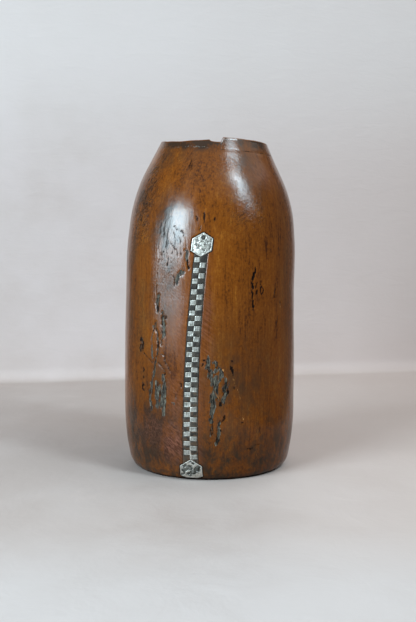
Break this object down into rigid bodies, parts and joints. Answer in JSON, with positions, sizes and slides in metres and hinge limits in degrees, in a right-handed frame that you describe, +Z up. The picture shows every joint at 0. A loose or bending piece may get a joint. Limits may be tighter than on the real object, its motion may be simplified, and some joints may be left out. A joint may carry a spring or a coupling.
{
  "type": "milk container",
  "caption": "Carved wooden milk container with a round shoulder and open neck, its cracked wall laced shut with flat metal strip between two nailed plates.",
  "frame": {"origin": "middle of the flat foot, on the surface that the container stands on", "axes": "+Z up to the neck, the laced seam faces -Y, +X to the right of the seam as it is looked at"},
  "size_m": [0.1385, 0.1384, 0.2616],
  "materials": {
    "wood": "oiled and handled to a gloss",
    "aluminium": "worn, hammered flat",
    "pitch": "dark resin",
    "iron": "darkened"
  },
  "bodies": {
    "root": {"vessel_body": "wood", "pitch_seal": "pitch", "lacing_strip_1": "aluminium", "lacing_strip_2": "aluminium", "lacing_strip_3": "aluminium", "lacing_strip_4": "aluminium", "top_end_plate": "aluminium", "foot_end_plate": "aluminium", "top_plate_pin_1": "iron", "top_plate_pin_2": "iron", "top_plate_pin_3": "iron", "foot_plate_pin_1": "iron", "foot_plate_pin_2": "iron", "foot_plate_pin_3": "iron"}
  },
  "joints": []
}
